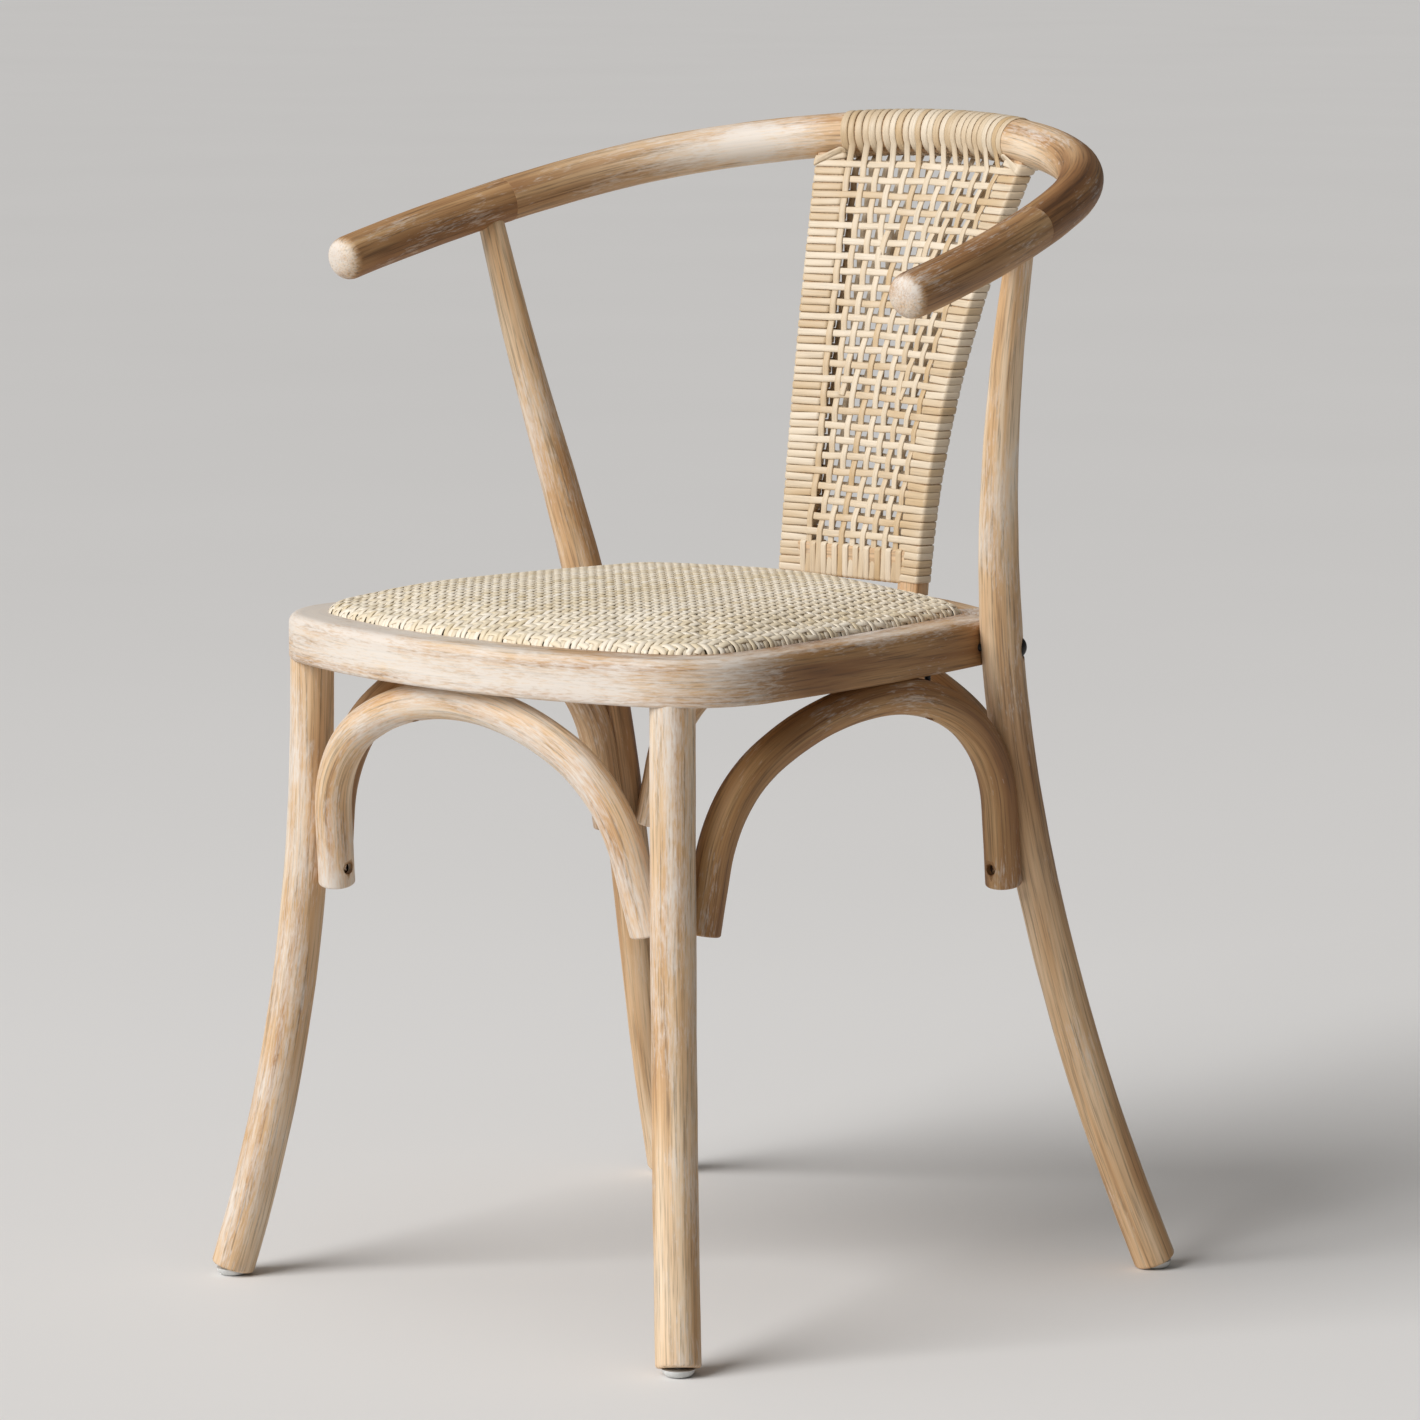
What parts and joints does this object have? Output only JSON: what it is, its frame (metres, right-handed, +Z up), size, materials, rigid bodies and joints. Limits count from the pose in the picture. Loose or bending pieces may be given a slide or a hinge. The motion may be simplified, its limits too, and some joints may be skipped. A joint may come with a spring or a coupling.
{
  "type": "wicker armchair",
  "caption": "Open armchair of round limed-wood stock with a hooped arm rail, a narrow woven rattan back, arched braces below the seat and a domed woven seat pad.",
  "frame": {"origin": "on the floor, under the middle of the bounding box", "axes": "+Z up, -Y to the front of the chair, +X to the sitter's left"},
  "size_m": [0.5574, 0.5272, 0.7917],
  "materials": {
    "limed_wood": "weathered open-grain wood with worn white limewash, matt",
    "rattan_strip": "pale split rattan strip, natural sheen on the outer skin",
    "rattan_cover": "fine twill of split rattan, dry and matt",
    "seat_foam": "open-cell foam",
    "plywood": "unfinished plywood",
    "steel_screw": "dull blackened steel",
    "black_bolt": "satin black",
    "glide_plastic": "milky plastic"
  },
  "bodies": {
    "root": {"arm_rail_back": "limed_wood", "arm_rail_left": "limed_wood", "arm_rail_right": "limed_wood", "back_crosspiece": "limed_wood", "back_stile_left": "limed_wood", "back_stile_right": "limed_wood", "back_weave": "rattan_strip", "brace_front": "limed_wood", "brace_left": "limed_wood", "brace_leg_screws": "steel_screw", "brace_rear": "limed_wood", "brace_right": "limed_wood", "brace_seat_screws": "steel_screw", "crosspiece_wrap": "rattan_strip", "foot_glide_front_left": "glide_plastic", "foot_glide_front_right": "glide_plastic", "foot_glide_rear_left": "glide_plastic", "foot_glide_rear_right": "glide_plastic", "front_leg_left": "limed_wood", "front_leg_right": "limed_wood", "leg_bolt_nuts": "black_bolt", "leg_bolt_washers": "black_bolt", "leg_bolts": "black_bolt", "rail_splice_dowels": "limed_wood", "rail_wrap": "rattan_strip", "rear_leg_left": "limed_wood", "rear_leg_right": "limed_wood", "seat_back_rail": "limed_wood", "seat_board": "plywood", "seat_board_screws": "steel_screw", "seat_cover": "rattan_cover", "seat_foam": "seat_foam", "seat_frame_dowels": "limed_wood", "seat_hoop": "limed_wood", "stile_wrap_left": "rattan_strip", "stile_wrap_right": "rattan_strip"}
  },
  "joints": []
}
